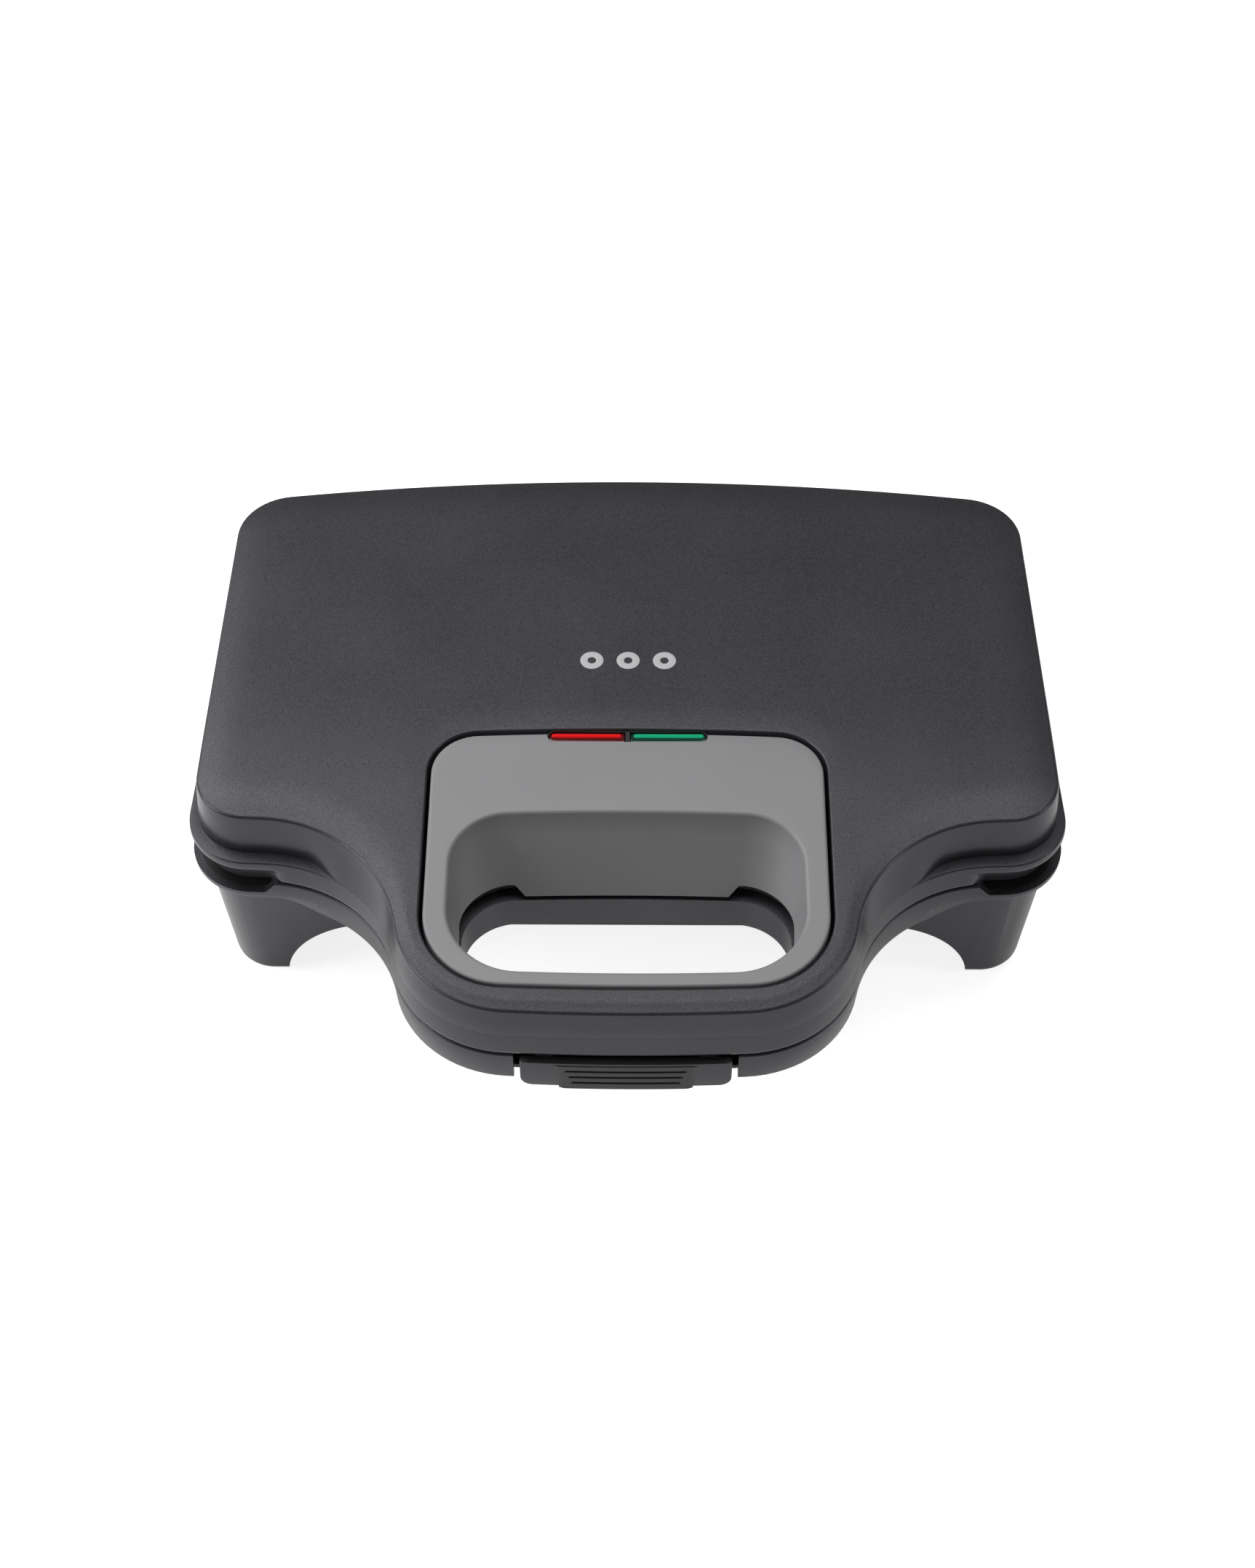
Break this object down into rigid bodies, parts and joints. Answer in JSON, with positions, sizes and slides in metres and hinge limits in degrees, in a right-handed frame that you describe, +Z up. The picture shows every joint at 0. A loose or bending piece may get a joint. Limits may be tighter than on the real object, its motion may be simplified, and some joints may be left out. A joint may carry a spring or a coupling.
{
  "type": "donut maker",
  "caption": "Clamshell donut maker with a hinged crowned lid, ring-mould plates, a looped front handle with a snap latch, and four moulded legs.",
  "frame": {"origin": "on the standing surface, in the middle of the closed appliance's footprint", "axes": "+X to the right, -Y to the front (handle side), +Z up"},
  "size_m": [0.2612, 0.219, 0.0808],
  "materials": {
    "charcoal_paint": "fine metallic charcoal paint, satin",
    "satin_grey": "satin grey moulded plastic",
    "black_plastic": "black moulded heat-resistant plastic",
    "latch_black": "black moulded plastic, ribbed",
    "red_lens": "clear red plastic",
    "green_lens": "clear green plastic",
    "neon_glass": "small glass lamp",
    "steel": "plated steel",
    "element_sheath": "heat-dulled steel sheath",
    "aluminised_sheet": "aluminised steel sheet",
    "nonstick_coating": "cast aluminium with a black non-stick coating",
    "fibre_sleeve": "woven glass-fibre sleeve",
    "foot_rubber": "moulded rubber"
  },
  "bodies": {
    "base": {"base_housing": "charcoal_paint", "bottom_cover": "black_plastic", "cord_gland": "foot_rubber", "cover_screw_front_left": "steel", "cover_screw_front_right": "steel", "cover_screw_rear_left": "steel", "cover_screw_rear_right": "steel", "foot_front_left": "foot_rubber", "foot_front_right": "foot_rubber", "foot_rear_left": "foot_rubber", "foot_rear_right": "foot_rubber", "hinge_pin_left": "steel", "hinge_pin_right": "steel", "latch_catch": "steel", "lower_bar_screw_left": "steel", "lower_bar_screw_right": "steel", "lower_cooking_plate": "nonstick_coating", "lower_element_bar_left": "steel", "lower_element_bar_right": "steel", "lower_heating_element": "element_sheath", "lower_reflector": "aluminised_sheet", "terminal_block": "black_plastic", "thermal_fuse": "fibre_sleeve", "thermostat": "steel"},
    "lid": {"green_lamp_lens": "green_lens", "green_neon_lamp": "neon_glass", "handle_insert": "satin_grey", "lamp_holder": "black_plastic", "latch_pin": "steel", "lid_frame": "black_plastic", "lid_housing": "charcoal_paint", "red_lamp_lens": "red_lens", "red_neon_lamp": "neon_glass", "upper_bar_screw_left": "steel", "upper_bar_screw_right": "steel", "upper_cooking_plate": "nonstick_coating", "upper_element_bar_left": "steel", "upper_element_bar_right": "steel", "upper_heating_element": "element_sheath", "upper_reflector": "aluminised_sheet"},
    "latch": {"latch_body": "charcoal_paint", "latch_grip": "latch_black"}
  },
  "joints": [
    {"name": "lid_hinge", "type": "hinge", "parent": "base", "child": "lid", "pos_m": [0, 0.1062, 0.055], "axis": [-1, 0, 0], "range_deg": [0, 100]},
    {"name": "latch_hinge", "type": "hinge", "parent": "lid", "child": "latch", "pos_m": [0, -0.102, 0.058], "axis": [-1, 0, 0], "range_deg": [0, 16]}
  ]
}
